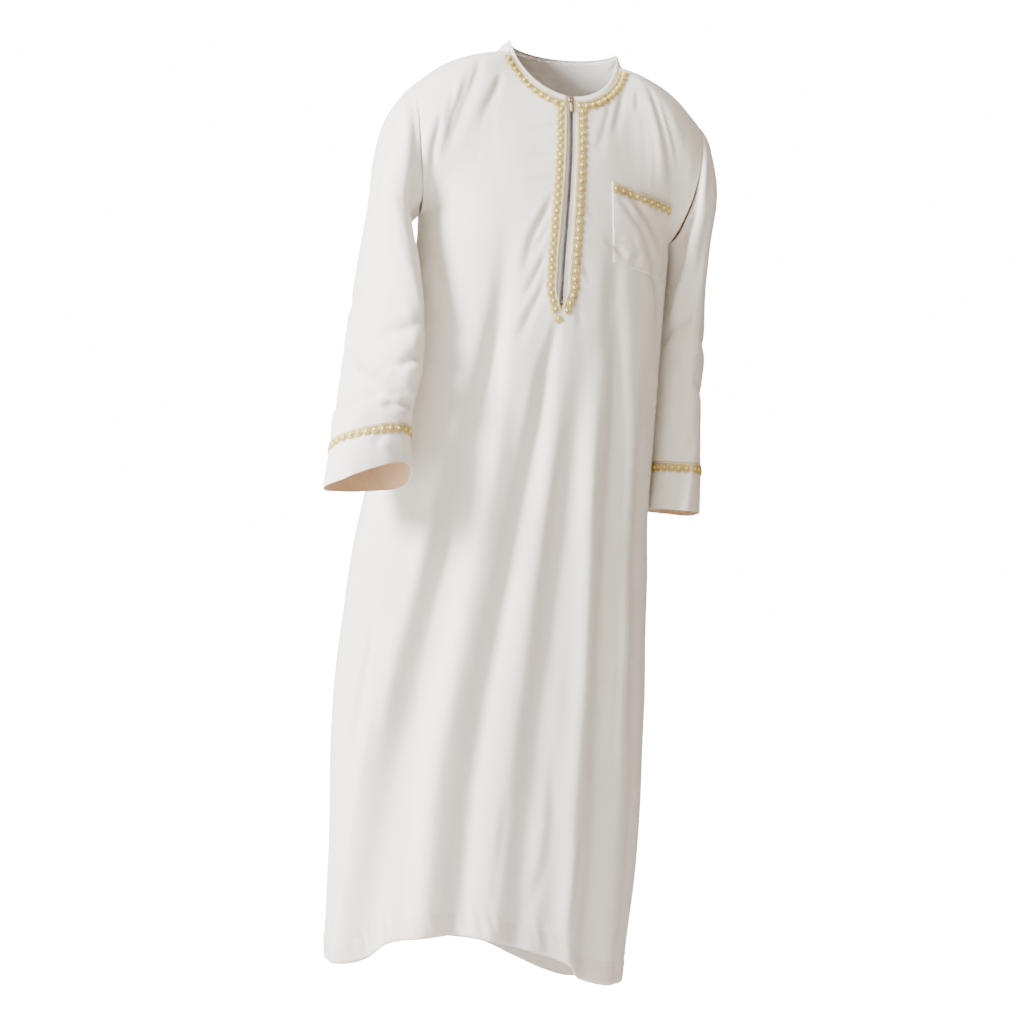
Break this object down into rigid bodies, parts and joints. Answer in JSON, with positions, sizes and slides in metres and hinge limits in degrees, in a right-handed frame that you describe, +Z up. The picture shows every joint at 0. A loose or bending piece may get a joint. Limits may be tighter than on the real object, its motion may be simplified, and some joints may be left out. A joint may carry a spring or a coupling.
{
  "type": "kaftan",
  "caption": "Ankle-length light kaftan with long set-in sleeves, a round neck with a short zip placket, gold braid at neck, cuffs and chest pocket, held in its worn shape.",
  "frame": {"origin": "the middle between the two points where neck and shoulder meet, at the height of the shoulders, where the garment rests on its wearer", "axes": "+Z up, -Y out of the garment's front, +X to the wearer's left"},
  "size_m": [0.6127, 0.3377, 1.4411],
  "materials": {
    "ivory_cloth": "matte",
    "gold_braid": "satin",
    "zip_tape": "matte",
    "zip_metal": "satin",
    "antique_brass": "satin"
  },
  "bodies": {
    "garment": {"front_panel": "ivory_cloth", "back_panel": "ivory_cloth", "sleeve_right": "ivory_cloth", "sleeve_left": "ivory_cloth", "neck_band": "ivory_cloth", "chest_pocket": "ivory_cloth", "braid_front_right": "gold_braid", "braid_front_left": "gold_braid", "braid_cuff_right": "gold_braid", "braid_cuff_left": "gold_braid", "braid_pocket": "gold_braid", "zip_tape_right": "zip_tape", "zip_tape_left": "zip_tape", "zip_chain": "zip_metal", "zip_bottom_stop": "zip_metal", "zip_slider": "antique_brass"},
    "zip_pull": {"zip_pull_tab": "antique_brass"}
  },
  "joints": [
    {"name": "pull_swing", "type": "hinge", "parent": "garment", "child": "zip_pull", "pos_m": [0, -0.08221, -0.08493], "axis": [-1, 0, 0], "range_deg": [0, 135]}
  ]
}
